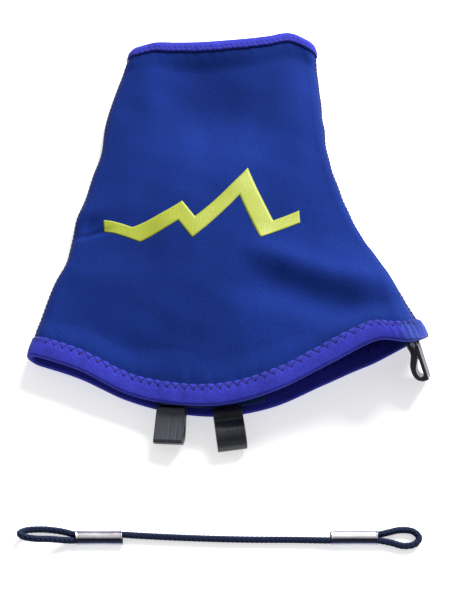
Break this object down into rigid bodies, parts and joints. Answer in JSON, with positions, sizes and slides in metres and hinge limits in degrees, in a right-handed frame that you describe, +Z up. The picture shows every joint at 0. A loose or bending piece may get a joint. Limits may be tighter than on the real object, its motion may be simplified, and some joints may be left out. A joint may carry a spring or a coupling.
{
  "type": "trail running gaiter",
  "caption": "Low stretch fabric ankle gaiter lying on its side, with bound openings, swinging lace hooks and a detachable elastic underfoot cord beside it.",
  "frame": {"origin": "middle of the gaiter's footprint, on the surface it lies on; the loose cord lies in front of it", "axes": "+Z up out of the lateral side, +Y from the shoe opening to the ankle opening, +X from the heel to the toes"},
  "size_m": [0.184, 0.265, 0.033],
  "materials": {
    "softshell": "stretch softshell, fine matt knit face",
    "binding": "brushed elastic binding",
    "binding_thread": "polyester thread",
    "seam_thread": "polyester thread",
    "bartack_thread": "pale polyester thread",
    "print_film": "heat transfer film",
    "tape": "woven tape",
    "hook_plastic": "moulded nylon or acetal, satin",
    "cord_braid": "braided sheath over an elastic core",
    "ferrule_metal": "crimped plated steel tube"
  },
  "bodies": {
    "shell": {"lateral_panel": "softshell", "medial_panel": "softshell", "front_seam_thread": "seam_thread", "heel_seam_thread": "seam_thread", "top_binding": "binding", "top_binding_thread": "binding_thread", "hem_binding": "binding", "hem_binding_thread": "binding_thread", "side_print": "print_film", "lateral_hook_tab": "tape", "lateral_hook_bartack": "bartack_thread", "lateral_hook_patch": "tape", "medial_hook_tab": "tape", "medial_hook_bartack": "bartack_thread", "medial_hook_patch": "tape", "front_hook_tab": "tape", "front_hook_bartack": "bartack_thread", "front_hook_patch": "tape"},
    "lateral_hook": {"lateral_hook": "hook_plastic"},
    "medial_hook": {"medial_hook": "hook_plastic"},
    "front_hook": {"front_hook": "hook_plastic"},
    "cord": {"underfoot_cord": "cord_braid", "cord_ferrule_left": "ferrule_metal", "cord_ferrule_right": "ferrule_metal"}
  },
  "joints": [
    {"name": "lateral_hook_swing", "type": "hinge", "parent": "shell", "child": "lateral_hook", "pos_m": [-0.02562, -0.08867, 0.00898], "axis": [-0.9836, 0.1013, -0.1494], "range_deg": [0, 30]},
    {"name": "medial_hook_swing", "type": "hinge", "parent": "shell", "child": "medial_hook", "pos_m": [-0.00104, -0.09039, 0.00548], "axis": [-0.9906, -0.1366, 0], "range_deg": [0, 45]},
    {"name": "front_hook_swing", "type": "hinge", "parent": "shell", "child": "front_hook", "pos_m": [0.08408, -0.05996, 0.01545], "axis": [-0.185, -0.5271, 0.8294], "range_deg": [0, 35]},
    {"name": "cord_lift", "type": "slide", "parent": "shell", "child": "cord", "axis": [0, 0, 1], "range_m": [0, 0.06]}
  ]
}
